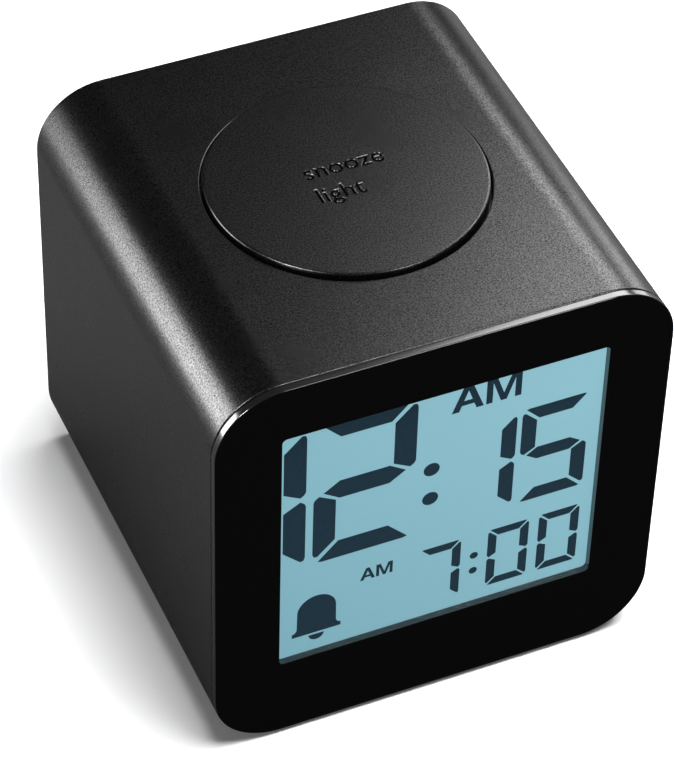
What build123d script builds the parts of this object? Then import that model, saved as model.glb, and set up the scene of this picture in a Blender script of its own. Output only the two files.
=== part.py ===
from build123d import *
import os

# Digital alarm clock in a cube housing with rounded edges.
# Millimetres. +Z is up, the display faces -Y, the feet stand on z = 0.
# A depth is counted from the front face of the display frame towards the rear.

# Driving sizes of the whole clock
body_width = 70.0
body_height = 70.0
body_depth = 71.0
corner_radius = 10.4
wall = 2.2
stand_off = 0.8

# Clearances and small shared sizes
overrun = 1.0
fit_gap = 0.15
face_gap = 0.05
edge_round = 0.35
small_round = 0.2
board_thickness = 1.2

# Front frame and display window
plate_thickness = 1.1
shadow_gap = 0.25
plate_bevel = 0.22
skirt_wall = 1.6
skirt_depth = 2.0
window_side = 10.0
window_lift = 14.45
window_drop = 9.35
window_radius = 0.8
pane_thickness = 0.5
pane_rebate = 0.2
pane_margin = 2.0
lug_length = 12.0
lug_depth = 0.9
lug_height = 0.5

# Display stack behind the window
pane_air = 0.1
glass_thickness = 1.1
glass_margin = 2.0
glass_top_margin = 1.4
glass_bottom_margin = 0.4
contact_ledge = 3.4
film_thickness = 0.2
guide_thickness = 2.0
guide_margin = 1.2
carrier_lip = 0.9
carrier_flange = 2.0
carrier_back_share = 0.86
zebra_height = 2.0
zebra_inset = 4.0
led_width = 3.0
led_height = 1.4
led_length = 2.8
led_spread = 20.0

# Main board and what is on it, spots counted from the middle of the board
main_board_margin = 2.3
main_board_radius = 3.0
board_hole_inset = 1.8
board_hole_z = 22.0
chip_radius = 6.0
chip_height = 1.8
chip_round = 1.1
chip_spot = (-7.0, 5.2)
crystal_radius = 1.5
crystal_length = 8.0
crystal_spot = (9.0, 11.2)
part_length = 3.2
part_width = 1.6
part_height = 1.2
part_pitch = 5.0
part_spot = (8.0, -8.8)

# Screws
screw_radius = 1.1
screw_head_radius = 2.3
screw_head_height = 1.2
screw_length = 8.0
slot_width = 0.6
slot_depth = 0.5
core_gap = 0.04
hole_gap = 0.2

# Screw bosses in the housing
boss_radius = 3.4
boss_inset = 6.8
boss_length = 14.0
ledge_reach = 1.7
ledge_width = 9.0
ledge_depth = 2.0
ledge_spread = 36.0

# Snooze button on the top
button_radius = 20.64
button_set_back = 0.9
button_proud = 0.9
button_top = 2.0
button_gap = 0.36
button_flange = 1.4
button_flange_height = 1.0
button_wall = 1.5
button_travel = 0.6
stem_radius = 2.5
rib_width = 1.0
rib_height = 1.6
bellows_radius = 8.0
bellows_wall = 1.0
bellows_fold = 1.4
holder_margin = 3.8
holder_length = 33.0
holder_thickness = 2.0
holder_radius = 4.0
holder_boss_radius = 3.0
holder_boss_inset = 4.0
holder_drop = 9.8
snooze_board_width = 24.0
snooze_board_length = 20.0
snooze_board_radius = 1.5

# Push switches
switch_size = 6.0
switch_height = 3.4
plunger_radius = 1.75
plunger_gap = 0.08
plunger_proud = 1.2
plunger_inside = 1.0

# Rear cover
cover_inset = 1.5
cover_thickness = 2.0
sound_slot_width = 1.2
sound_slot_height = 8.0
sound_slot_pitch = 2.6
sound_slot_count = 5
speaker_x = -14.0
speaker_drop = 23.5
buzzer_radius = 5.0
buzzer_height = 5.6
buzzer_hole_radius = 1.2

# Setting keys and alarm switch on the rear
key_radius = 3.0
key_gap = 0.2
key_flange = 1.0
key_flange_height = 0.8
key_proud = 0.8
key_post_radius = 1.6
key_travel = 0.5
key_pitch = 12.0
key_drop = 15.0
key_board_margin = 2.8
key_board_drop = 10.6
key_board_gap = 1.0
key_stack = 8.1
standoff_radius = 2.3
standoff_inset = 3.0
standoff_drop = 20.8
knob_width = 3.6
knob_height = 2.8
knob_proud = 0.6
knob_flange = 1.4
knob_flange_height = 0.8
knob_stem = 1.4
knob_travel = 2.5
knob_x = 14.0
knob_drop = 24.2
slider_width = 9.0
slider_height = 4.4
slider_depth = 3.8

# Battery bay and door
bay_wall = 1.4
door_width = 50.4
door_height = 24.4
door_lift = 13.8
door_gap = 0.3
tab_room = 1.8
tab_width = 6.0
tab_reach = 1.3
tab_thickness = 1.0
tab_root = 1.2
tab_spread = 30.0
latch_width = 10.0
latch_length = 6.0
latch_slit = 0.8
latch_bump = 0.2
latch_bump_width = 8.0
grip_count = 3
grip_pitch = 1.4
grip_height = 0.35
grip_width = 0.6
scoop_width = 12.0
scoop_height = 3.2
scoop_depth = 1.0
cell_radius = 5.25
cell_length = 44.5
cell_nub_radius = 1.9
cell_nub_length = 1.0
cell_pitch = 12.0
cell_gap = 0.3
saddle_width = 30.0
saddle_thickness = 0.8
saddle_height = 3.0
contact_thickness = 0.4
contact_width = 7.0
contact_dimple = 1.0
dimple_radius = 2.0

# Feet
foot_radius = 4.0
foot_recess = 0.6
foot_inset_x = 11.0
foot_inset_y = 10.0

# Ribbon cable between the two boards
ribbon_width = 10.0
ribbon_thickness = 0.6
ribbon_start_rise = 16.2
ribbon_end_drop = 24.8
ribbon_sag = 10.0
ribbon_run = 8.0
ribbon_bend = 3.5

# Places worked out from the sizes
front_y = -body_depth / 2
base_z = stand_off
top_z = stand_off + body_height
mid_z = stand_off + body_height / 2
rim_depth = plate_thickness + shadow_gap
bore_width = body_width - 2 * wall
bore_height = body_height - 2 * wall
bore_radius = corner_radius - wall
ceiling_z = top_z - wall
window_width = body_width - 2 * window_side
window_height = body_height - window_lift - window_drop
window_z = base_z + window_lift + window_height / 2
pane_depth = plate_thickness - pane_rebate
skirt_end = plate_thickness + skirt_depth
skirt_width = bore_width - 2 * fit_gap
skirt_height = bore_height - 2 * fit_gap
skirt_radius = bore_radius - fit_gap

glass_front = pane_depth + pane_thickness + pane_air
glass_middle = glass_front + glass_thickness
glass_back = glass_middle + glass_thickness
guide_front = glass_back + film_thickness
guide_back = guide_front + guide_thickness
stack_back = guide_back + film_thickness
carrier_back = stack_back + carrier_lip
board_back = carrier_back + board_thickness
glass_width = window_width + 2 * glass_margin
zebra_width = glass_width - 2 * zebra_inset
glass_top = window_z + window_height / 2 + glass_top_margin
glass_bottom = window_z - window_height / 2 - glass_bottom_margin
ledge_bottom = glass_bottom - contact_ledge
guide_width = window_width + 2 * guide_margin
guide_top = window_z + window_height / 2 + guide_margin
zebra_z = glass_bottom - contact_ledge / 2
led_z = guide_top + face_gap + led_height / 2
block_width = skirt_width - 2 * skirt_wall - 2 * fit_gap
block_height = skirt_height - 2 * skirt_wall - 2 * fit_gap
block_radius = skirt_radius - skirt_wall - fit_gap
flange_back = skirt_end + face_gap + carrier_flange
main_board_width = bore_width - 2 * main_board_margin
main_board_height = bore_height - 2 * main_board_margin

cover_depth = body_depth - cover_inset
cover_seat = cover_depth - cover_thickness
boss_x = body_width / 2 - boss_inset
boss_z = body_height / 2 - boss_inset
core_radius = screw_radius + core_gap
screw_hole_radius = screw_radius + hole_gap

button_y = button_set_back
well_radius = button_radius + button_gap
flange_top = ceiling_z - face_gap
cap_top = top_z + button_proud
holder_width = bore_width - 2 * holder_margin
holder_top = ceiling_z - holder_drop
holder_boss_x = holder_width / 2 - holder_boss_inset
holder_boss_y = holder_length / 2 - holder_boss_inset
snooze_board_top = holder_top + board_thickness
snooze_switch_top = snooze_board_top + switch_height
snooze_plunger_top = snooze_switch_top + plunger_proud

key_board_depth = cover_seat - key_stack
key_board_width = bore_width - 2 * key_board_margin
key_board_top = top_z - key_board_drop
key_z = top_z - key_drop
knob_spot = (knob_x, top_z - knob_drop)
speaker_spot = (speaker_x, top_z - speaker_drop)
standoff_spot = (key_board_width / 2 - standoff_inset, top_z - standoff_drop)
key_switch_seat = key_board_depth + board_thickness
key_switch_face = key_switch_seat + switch_height
key_plunger_face = key_switch_face + plunger_proud
key_flange_face = cover_seat - face_gap
key_names = ("time", "alarm", "hour", "minute")

door_bottom = base_z + door_lift
door_top = door_bottom + door_height
bay_bottom = door_bottom - tab_room
bay_mid_z = (bay_bottom + door_top) / 2
cell_depth = cover_seat - cell_gap - cell_radius
bay_floor = cell_depth - cell_radius - cell_gap
bay_half = door_width / 2
key_board_bottom = door_top + bay_wall + key_board_gap

foot_x = body_width / 2 - foot_inset_x
foot_y = body_depth / 2 - foot_inset_y
ribbon_start_z = mid_z + ribbon_start_rise
ribbon_end_z = top_z - ribbon_end_drop


def facing(depth):
    """Plane square to the depth, with its normal towards the reader."""
    return Plane(origin=(0, front_y + depth, 0), x_dir=(1, 0, 0), z_dir=(0, -1, 0))


def corners(x, z, centre=(0, 0)):
    """Four places mirrored about a centre."""
    return [(centre[0] + i * x, centre[1] + j * z) for i in (-1, 1) for j in (-1, 1)]


def key_places():
    """Centres of the setting keys, left to right."""
    start = -key_pitch * (len(key_names) - 1) / 2
    return [(start + key_pitch * i, key_z) for i in range(len(key_names))]


def write(piece, node_name):
    """Label a finished piece and write its file."""
    piece.part.label = node_name
    export_step(piece.part, f"parts/{node_name}.step")


def make_housing():
    """Sleeve with the button well, screw bosses, ledges and foot recesses."""
    with BuildPart() as housing:
        with BuildSketch(facing(rim_depth)):
            with Locations((0, mid_z)):
                RectangleRounded(body_width, body_height, corner_radius)
                RectangleRounded(bore_width, bore_height, bore_radius, mode=Mode.SUBTRACT)
        extrude(amount=-(body_depth - rim_depth))
        rim_faces = housing.faces().filter_by(Axis.Y)
        rim_edges = rim_faces.sort_by(Axis.Y)[0].outer_wire().edges()
        rim_edges += rim_faces.sort_by(Axis.Y)[-1].outer_wire().edges()
        chamfer(rim_edges, edge_round)
        # Corner bosses that take the rear screws
        with BuildSketch(facing(cover_seat)):
            with Locations(corners(boss_x, boss_z, (0, mid_z))):
                Circle(boss_radius)
        extrude(amount=boss_length)
        with BuildSketch(facing(cover_seat)):
            with Locations(corners(boss_x, boss_z, (0, mid_z))):
                Circle(core_radius)
        extrude(amount=screw_length, mode=Mode.SUBTRACT)
        # Ledges behind the display carrier
        with BuildSketch(facing(flange_back + face_gap)):
            with Locations(corners(bore_width / 2 - ledge_reach / 2, ledge_spread / 2, (0, mid_z))):
                Rectangle(ledge_reach, ledge_width)
        extrude(amount=-ledge_depth)
        # Bosses that hang from the ceiling and carry the button holder
        with BuildSketch(Plane.XY.offset(ceiling_z)):
            with Locations(corners(holder_boss_x, holder_boss_y, (0, button_y))):
                Circle(holder_boss_radius)
        extrude(amount=-(ceiling_z - holder_top))
        with BuildSketch(Plane.XY.offset(holder_top)):
            with Locations(corners(holder_boss_x, holder_boss_y, (0, button_y))):
                Circle(core_radius)
        extrude(amount=screw_length, mode=Mode.SUBTRACT)
        # Round well for the snooze button
        with BuildSketch(Plane.XY.offset(top_z)):
            with Locations((0, button_y)):
                Circle(well_radius)
        extrude(amount=-(wall + overrun), mode=Mode.SUBTRACT)
        well_edges = housing.edges().filter_by(GeomType.CIRCLE).group_by(Axis.Z)[-1]
        chamfer(well_edges, small_round)
        # Pockets for the snap lugs of the front frame
        with BuildSketch(facing(skirt_end - lug_depth - fit_gap)):
            with Locations([(-bore_width / 2, mid_z), (bore_width / 2, mid_z)]):
                Rectangle(2 * (lug_height + fit_gap), lug_length + 2 * fit_gap)
        extrude(amount=-(lug_depth + 2 * fit_gap), mode=Mode.SUBTRACT)
        # Recesses for the feet
        with BuildSketch(Plane.XY.offset(base_z)):
            with Locations(corners(foot_x, foot_y)):
                Circle(foot_radius + fit_gap)
        extrude(amount=foot_recess, mode=Mode.SUBTRACT)
    write(housing, "housing")


def make_front_frame():
    """Glossy front plate with the window, a skirt and its snap lugs."""
    with BuildPart() as frame:
        with BuildSketch(facing(0)):
            with Locations((0, mid_z)):
                RectangleRounded(body_width, body_height, corner_radius)
        extrude(amount=-plate_thickness)
        chamfer(frame.faces().sort_by(Axis.Y)[0].edges(), plate_bevel)
        with BuildSketch(facing(plate_thickness)):
            with Locations((0, mid_z)):
                RectangleRounded(skirt_width, skirt_height, skirt_radius)
                RectangleRounded(
                    skirt_width - 2 * skirt_wall,
                    skirt_height - 2 * skirt_wall,
                    skirt_radius - skirt_wall,
                    mode=Mode.SUBTRACT,
                )
        extrude(amount=-skirt_depth)
        with BuildSketch(facing(skirt_end - lug_depth)):
            with Locations([(-skirt_width / 2, mid_z), (skirt_width / 2, mid_z)]):
                Rectangle(2 * lug_height, lug_length)
        extrude(amount=-lug_depth)
        with BuildSketch(facing(0)):
            with Locations((0, window_z)):
                RectangleRounded(window_width, window_height, window_radius)
        extrude(amount=-plate_thickness, mode=Mode.SUBTRACT)
        with BuildSketch(facing(pane_depth)):
            with Locations((0, window_z)):
                RectangleRounded(
                    window_width + 2 * pane_margin + 2 * fit_gap,
                    window_height + 2 * pane_margin + 2 * fit_gap,
                    window_radius + pane_margin + fit_gap,
                )
        extrude(amount=-pane_rebate, mode=Mode.SUBTRACT)
    write(frame, "front_frame")


def make_display_window():
    """Clear pane bonded into the rebate behind the window."""
    with BuildPart() as pane:
        with BuildSketch(facing(pane_depth)):
            with Locations((0, window_z)):
                RectangleRounded(
                    window_width + 2 * pane_margin,
                    window_height + 2 * pane_margin,
                    window_radius + pane_margin,
                )
        extrude(amount=-pane_thickness)
    write(pane, "display_window")


def make_flat_layer(node_name, front, thickness, width, bottom, top):
    """One flat rectangular layer of the display stack."""
    with BuildPart() as layer:
        with BuildSketch(facing(front)):
            with Locations((0, (bottom + top) / 2)):
                Rectangle(width, top - bottom)
        extrude(amount=-thickness)
    write(layer, node_name)


def make_display_stack():
    """Glass, films and light guide, front to back."""
    make_flat_layer(
        "lcd_front_glass", glass_front, glass_thickness, glass_width, ledge_bottom, glass_top
    )
    make_flat_layer(
        "lcd_rear_glass", glass_middle, glass_thickness, glass_width, glass_bottom, glass_top
    )
    make_flat_layer(
        "diffuser_film", glass_back, film_thickness, guide_width, glass_bottom, guide_top
    )
    make_flat_layer(
        "light_guide", guide_front, guide_thickness, guide_width, glass_bottom, guide_top
    )
    make_flat_layer(
        "reflector_film", guide_back, film_thickness, guide_width, glass_bottom, guide_top
    )
    make_flat_layer(
        "zebra_strip",
        glass_middle,
        carrier_back - glass_middle,
        zebra_width,
        zebra_z - zebra_height / 2,
        zebra_z + zebra_height / 2,
    )


def make_display_carrier():
    """Moulded frame that holds the display stack and carries the main board."""
    with BuildPart() as carrier:
        with BuildSketch(facing(plate_thickness + face_gap)):
            with Locations((0, mid_z)):
                RectangleRounded(block_width, block_height, block_radius)
        extrude(amount=-(carrier_back - plate_thickness - face_gap))
        with BuildSketch(facing(skirt_end + face_gap)):
            with Locations((0, mid_z)):
                RectangleRounded(skirt_width, skirt_height, skirt_radius)
        extrude(amount=-carrier_flange)
        # Recess for the pane, pocket for the glass, pocket for the light guide
        with BuildSketch(facing(plate_thickness)):
            with Locations((0, window_z)):
                RectangleRounded(
                    window_width + 2 * pane_margin + 2 * fit_gap,
                    window_height + 2 * pane_margin + 2 * fit_gap,
                    window_radius + pane_margin + fit_gap,
                )
        extrude(amount=-(glass_front - plate_thickness), mode=Mode.SUBTRACT)
        with BuildSketch(facing(plate_thickness)):
            with Locations((0, (ledge_bottom + glass_top) / 2)):
                Rectangle(glass_width + 2 * fit_gap, glass_top - ledge_bottom + 2 * fit_gap)
        extrude(amount=-(glass_middle - plate_thickness), mode=Mode.SUBTRACT)
        with BuildSketch(facing(glass_middle)):
            with Locations((0, (glass_bottom + glass_top) / 2)):
                Rectangle(glass_width + 2 * fit_gap, glass_top - glass_bottom + 2 * fit_gap)
        extrude(amount=-glass_thickness, mode=Mode.SUBTRACT)
        with BuildSketch(facing(glass_back)):
            with Locations((0, (glass_bottom + guide_top) / 2)):
                Rectangle(guide_width + 2 * fit_gap, guide_top - glass_bottom + 2 * fit_gap)
        extrude(amount=-(stack_back - glass_back), mode=Mode.SUBTRACT)
        # Open middle of the back wall
        with BuildSketch(facing(stack_back)):
            with Locations((0, window_z)):
                Rectangle(window_width * carrier_back_share, window_height * carrier_back_share)
        extrude(amount=-carrier_lip, mode=Mode.SUBTRACT)
        # Slots for the contact strip and the two lamps
        with BuildSketch(facing(glass_middle)):
            with Locations((0, zebra_z)):
                Rectangle(zebra_width + 2 * fit_gap, zebra_height + 2 * fit_gap)
        extrude(amount=-(carrier_back - glass_middle), mode=Mode.SUBTRACT)
        with BuildSketch(facing(carrier_back)):
            with Locations([(-led_spread / 2, led_z), (led_spread / 2, led_z)]):
                Rectangle(led_width + 2 * fit_gap, led_height + 2 * fit_gap)
        extrude(amount=led_length + fit_gap, mode=Mode.SUBTRACT)
        # Cores for the board screws
        with BuildSketch(facing(carrier_back)):
            with Locations(board_holes()):
                Circle(core_radius)
        extrude(amount=carrier_back - skirt_end, mode=Mode.SUBTRACT)
    write(carrier, "display_carrier")


def board_holes():
    """Screw places along the two sides of the main board."""
    return corners(main_board_width / 2 - board_hole_inset, board_hole_z, (0, mid_z))


def make_backlight_leds():
    """Two side lamps above the light guide, soldered to the main board."""
    with BuildPart() as leds:
        with BuildSketch(facing(carrier_back)):
            with Locations([(-led_spread / 2, led_z), (led_spread / 2, led_z)]):
                Rectangle(led_width, led_height)
        extrude(amount=led_length)
    write(leds, "backlight_leds")


def make_main_board():
    """Circuit board behind the display carrier."""
    with BuildPart() as board:
        with BuildSketch(facing(carrier_back)):
            with Locations((0, mid_z)):
                RectangleRounded(main_board_width, main_board_height, main_board_radius)
            with Locations(board_holes()):
                Circle(screw_hole_radius, mode=Mode.SUBTRACT)
        extrude(amount=-board_thickness)
    write(board, "main_board")


def make_clock_chip():
    """Round sealed chip on the back of the main board."""
    with BuildPart() as chip:
        with BuildSketch(facing(board_back)):
            with Locations((chip_spot[0], mid_z + chip_spot[1])):
                Circle(chip_radius)
        extrude(amount=-chip_height)
        chamfer(chip.faces().sort_by(Axis.Y)[-1].edges(), chip_round)
    write(chip, "clock_chip")


def make_timing_crystal():
    """Small can that lies on the back of the main board."""
    with BuildPart() as crystal:
        can_y = front_y + board_back + crystal_radius
        can_plane = Plane(
            origin=(crystal_spot[0], can_y, mid_z + crystal_spot[1]), z_dir=(1, 0, 0)
        )
        with BuildSketch(can_plane):
            Circle(crystal_radius)
        extrude(amount=crystal_length)
        chamfer(crystal.edges().filter_by(GeomType.CIRCLE), small_round)
    write(crystal, "timing_crystal")


def make_board_parts():
    """Row of small parts on the back of the main board."""
    with BuildPart() as small_parts:
        with BuildSketch(facing(board_back)):
            with Locations([(part_spot[0] + part_pitch * (i - 1), mid_z + part_spot[1] + part_pitch * j)
                            for i in range(4) for j in range(2)]):
                Rectangle(part_length, part_width)
        extrude(amount=-part_height)
    write(small_parts, "board_parts")


def make_screws(node_name, seat_plane, places, length):
    """Round-headed screws with a slot, standing on one plane."""
    with BuildPart() as screws:
        with BuildSketch(seat_plane):
            with Locations(places):
                Circle(screw_head_radius)
        extrude(amount=screw_head_height)
        head_faces = screws.faces().sort_by(Axis(seat_plane.origin, seat_plane.z_dir))
        chamfer(head_faces[-len(places):].edges(), small_round)
        with BuildSketch(seat_plane):
            with Locations(places):
                Circle(screw_radius)
        extrude(amount=-length)
        with BuildSketch(seat_plane.offset(screw_head_height - slot_depth)):
            with Locations(places):
                Rectangle(2 * screw_head_radius, slot_width)
                Rectangle(slot_width, 2 * screw_head_radius)
        extrude(amount=slot_depth, mode=Mode.SUBTRACT)
    write(screws, node_name)


def rear_facing(depth):
    """Plane square to the depth, with its normal towards the rear."""
    return Plane(origin=(0, front_y + depth, 0), x_dir=(-1, 0, 0), z_dir=(0, 1, 0))


def mirrored(places):
    """Places on a plane that faces the rear, where X runs the other way."""
    return [(-x, z) for x, z in places]


def make_all_screws():
    """Screws of the main board, the rear cover, the key board and the button holder."""
    make_screws(
        "board_screws", rear_facing(board_back), board_holes(),
        board_back - skirt_end - 2 * fit_gap,
    )
    make_screws(
        "rear_screws", rear_facing(cover_depth - screw_head_height),
        corners(boss_x, boss_z, (0, mid_z)), screw_length,
    )
    make_screws(
        "key_board_screws", facing(key_board_depth),
        [(-standoff_spot[0], standoff_spot[1]), standoff_spot], screw_length - overrun,
    )
    make_screws(
        "holder_screws", Plane.XY.offset(holder_top - holder_thickness).reverse(),
        corners(holder_boss_x, holder_boss_y, (0, -button_y)), screw_length,
    )


def make_snooze_button():
    """Round cap with a skirt, a retaining flange, ribs and the stem."""
    with BuildPart() as button:
        with BuildSketch(Plane.XY.offset(flange_top)):
            with Locations((0, button_y)):
                Circle(button_radius)
        extrude(amount=cap_top - flange_top)
        chamfer(button.edges().group_by(Axis.Z)[-1], edge_round)
        with BuildSketch(Plane.XY.offset(flange_top)):
            with Locations((0, button_y)):
                Circle(button_radius + button_flange)
        extrude(amount=-button_flange_height)
        with BuildSketch(Plane.XY.offset(flange_top - button_flange_height)):
            with Locations((0, button_y)):
                Circle(button_radius - button_wall)
        extrude(amount=cap_top - button_top - flange_top + button_flange_height, mode=Mode.SUBTRACT)
        # Cross ribs under the cap and the stem in its middle
        with BuildSketch(Plane.XY.offset(cap_top - button_top - rib_height)):
            with Locations((0, button_y)):
                Rectangle(2 * (button_radius - button_wall), rib_width)
                Rectangle(rib_width, 2 * (button_radius - button_wall))
        extrude(amount=rib_height)
        with BuildSketch(Plane.XY.offset(snooze_plunger_top)):
            with Locations((0, button_y)):
                Circle(stem_radius)
        extrude(amount=cap_top - button_top - snooze_plunger_top)
    write(button, "snooze_button")


def make_snooze_switch():
    """Push switch under the snooze button, and its plunger."""
    with BuildPart() as body:
        with BuildSketch(Plane.XY.offset(snooze_board_top)):
            with Locations((0, button_y)):
                Rectangle(switch_size, switch_size)
        extrude(amount=switch_height)
        with BuildSketch(Plane.XY.offset(snooze_switch_top)):
            with Locations((0, button_y)):
                Circle(plunger_radius + plunger_gap)
        extrude(amount=-(plunger_inside + button_travel + fit_gap), mode=Mode.SUBTRACT)
    write(body, "snooze_switch")
    with BuildPart() as plunger:
        with BuildSketch(Plane.XY.offset(snooze_switch_top - plunger_inside)):
            with Locations((0, button_y)):
                Circle(plunger_radius)
        extrude(amount=plunger_inside + plunger_proud)
    write(plunger, "snooze_plunger")


def make_button_bellows():
    """Silicone bellows round the switch that lifts the button again."""
    bottom = snooze_board_top
    top = cap_top - button_top - rib_height
    outer = bellows_radius
    inner = bellows_radius - bellows_wall
    waist = (bottom + top) / 2
    with BuildPart() as bellows:
        with BuildSketch(Plane.XZ.offset(-button_y)):
            with BuildLine():
                Polyline(
                    (inner, bottom),
                    (outer, bottom),
                    (outer - bellows_fold, waist),
                    (outer, top),
                    (inner, top),
                    (inner - bellows_fold, waist),
                    close=True,
                )
            make_face()
        revolve(axis=Axis((0, button_y, 0), (0, 0, 1)))
    write(bellows, "button_bellows")


def make_snooze_board():
    """Small circuit board under the snooze switch."""
    with BuildPart() as board:
        with BuildSketch(Plane.XY.offset(holder_top)):
            with Locations((0, button_y)):
                RectangleRounded(snooze_board_width, snooze_board_length, snooze_board_radius)
        extrude(amount=board_thickness)
    write(board, "snooze_board")


def make_button_holder():
    """Moulded bridge screwed under the ceiling that carries the small board."""
    with BuildPart() as holder:
        with BuildSketch(Plane.XY.offset(holder_top)):
            with Locations((0, button_y)):
                RectangleRounded(holder_width, holder_length, holder_radius)
            with Locations(corners(holder_boss_x, holder_boss_y, (0, button_y))):
                Circle(screw_hole_radius, mode=Mode.SUBTRACT)
            with Locations([(-holder_boss_x, button_y), (holder_boss_x, button_y)]):
                SlotOverall(holder_boss_y, holder_boss_radius, rotation=90, mode=Mode.SUBTRACT)
        extrude(amount=-holder_thickness)
    write(holder, "button_holder")


def make_rear_cover():
    """Inset rear cover with the battery bay, key holes and sound slots."""
    with BuildPart() as cover:
        with BuildSketch(facing(cover_depth)):
            with Locations((0, mid_z)):
                RectangleRounded(skirt_width, skirt_height, skirt_radius)
        extrude(amount=cover_thickness)
        with BuildSketch(facing(cover_seat)):
            with Locations((0, bay_mid_z)):
                Rectangle(door_width + 2 * bay_wall, door_top - bay_bottom + 2 * bay_wall)
        extrude(amount=cover_seat - bay_floor + bay_wall)
        with BuildSketch(facing(cover_seat)):
            with Locations((0, bay_mid_z)):
                Rectangle(door_width, door_top - bay_bottom)
        extrude(amount=cover_seat - bay_floor, mode=Mode.SUBTRACT)
        with BuildSketch(facing(cover_depth)):
            with Locations((0, (door_bottom + door_top) / 2)):
                Rectangle(door_width, door_height)
        extrude(amount=cover_thickness, mode=Mode.SUBTRACT)
        # Saddle rib between the two cells
        with BuildSketch(facing(bay_floor)):
            with Locations((0, bay_mid_z)):
                Rectangle(saddle_width, saddle_thickness)
        extrude(amount=-saddle_height)
        # Finger scoop above the door
        with BuildSketch(facing(cover_depth)):
            with Locations((0, door_top + scoop_height / 2)):
                Rectangle(scoop_width, scoop_height)
        extrude(amount=scoop_depth, mode=Mode.SUBTRACT)
        # Holes for the keys, the knob, the sound and the screws
        with BuildSketch(facing(cover_depth)):
            with Locations(key_places()):
                Circle(key_radius + key_gap)
            with Locations((knob_spot[0], knob_spot[1])):
                Rectangle(knob_width + knob_travel + 2 * key_gap, knob_height + 2 * key_gap)
            with Locations([(speaker_spot[0] + sound_slot_pitch * (i - (sound_slot_count - 1) / 2),
                             speaker_spot[1]) for i in range(sound_slot_count)]):
                SlotOverall(sound_slot_height, sound_slot_width, rotation=90)
            with Locations(corners(boss_x, boss_z, (0, mid_z))):
                Circle(screw_hole_radius)
        extrude(amount=cover_thickness, mode=Mode.SUBTRACT)
        with BuildSketch(facing(cover_depth)):
            with Locations(corners(boss_x, boss_z, (0, mid_z))):
                Circle(screw_head_radius + hole_gap)
        extrude(amount=screw_head_height, mode=Mode.SUBTRACT)
        # Stand-offs that carry the key board
        with BuildSketch(facing(cover_seat)):
            with Locations([(-standoff_spot[0], standoff_spot[1]), standoff_spot]):
                Circle(standoff_radius)
        extrude(amount=cover_seat - key_switch_seat)
        with BuildSketch(facing(key_switch_seat)):
            with Locations([(-standoff_spot[0], standoff_spot[1]), standoff_spot]):
                Circle(core_radius)
        extrude(amount=-(screw_length - board_thickness - overrun + fit_gap), mode=Mode.SUBTRACT)
    write(cover, "rear_cover")


def make_battery_door():
    """Door with two hooked tabs at its foot and a sprung latch at its head."""
    low = door_bottom + door_gap
    high = door_top - door_gap
    with BuildPart() as door:
        with BuildSketch(facing(cover_depth)):
            with Locations((0, (low + high) / 2)):
                Rectangle(door_width - 2 * door_gap, high - low)
        extrude(amount=cover_thickness)
        # Hooked tabs that reach behind the lower edge of the opening
        with BuildSketch(facing(cover_seat)):
            with Locations([(-tab_spread / 2, low + tab_root / 2), (tab_spread / 2, low + tab_root / 2)]):
                Rectangle(tab_width, tab_root)
        extrude(amount=tab_thickness + 2 * face_gap)
        with BuildSketch(facing(cover_seat - 2 * face_gap)):
            with Locations([(-tab_spread / 2, low + (tab_root - tab_reach - door_gap) / 2),
                            (tab_spread / 2, low + (tab_root - tab_reach - door_gap) / 2)]):
                Rectangle(tab_width, tab_root + tab_reach + door_gap)
        extrude(amount=tab_thickness)
        # Latch tongue: a slit each side, a bump on its edge and grip ridges
        with BuildSketch(facing(cover_depth)):
            with Locations([(-(latch_width + latch_slit) / 2, high - latch_length / 2),
                            ((latch_width + latch_slit) / 2, high - latch_length / 2)]):
                Rectangle(latch_slit, latch_length)
        extrude(amount=cover_thickness, mode=Mode.SUBTRACT)
        with BuildSketch(facing(cover_depth - cover_thickness / 2)):
            with Locations((0, high + latch_bump / 2)):
                Rectangle(latch_bump_width, latch_bump)
        extrude(amount=cover_thickness / 4)
        with BuildSketch(rear_facing(cover_depth)):
            with Locations([(0, high - grip_pitch * (i + 1)) for i in range(grip_count)]):
                Rectangle(latch_width - 2 * latch_slit, grip_width)
        extrude(amount=grip_height)
    write(door, "battery_door")


def make_battery_cells():
    """Two cells that lie side by side, turned opposite ways."""
    for number, side in ((1, 1), (2, -1)):
        cell_z = bay_mid_z - side * cell_pitch / 2
        tip_x = side * (bay_half - contact_thickness - contact_dimple - face_gap)
        body_length = cell_length - cell_nub_length
        start = Plane(
            origin=(tip_x - side * cell_nub_length, front_y + cell_depth, cell_z),
            z_dir=(-side, 0, 0),
        )
        with BuildPart() as cell:
            with BuildSketch(start):
                Circle(cell_radius)
            extrude(amount=body_length)
            chamfer(cell.edges().filter_by(GeomType.CIRCLE), edge_round)
            with BuildSketch(start):
                Circle(cell_nub_radius)
            extrude(amount=-cell_nub_length)
        write(cell, f"battery_cell_{number}")


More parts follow.
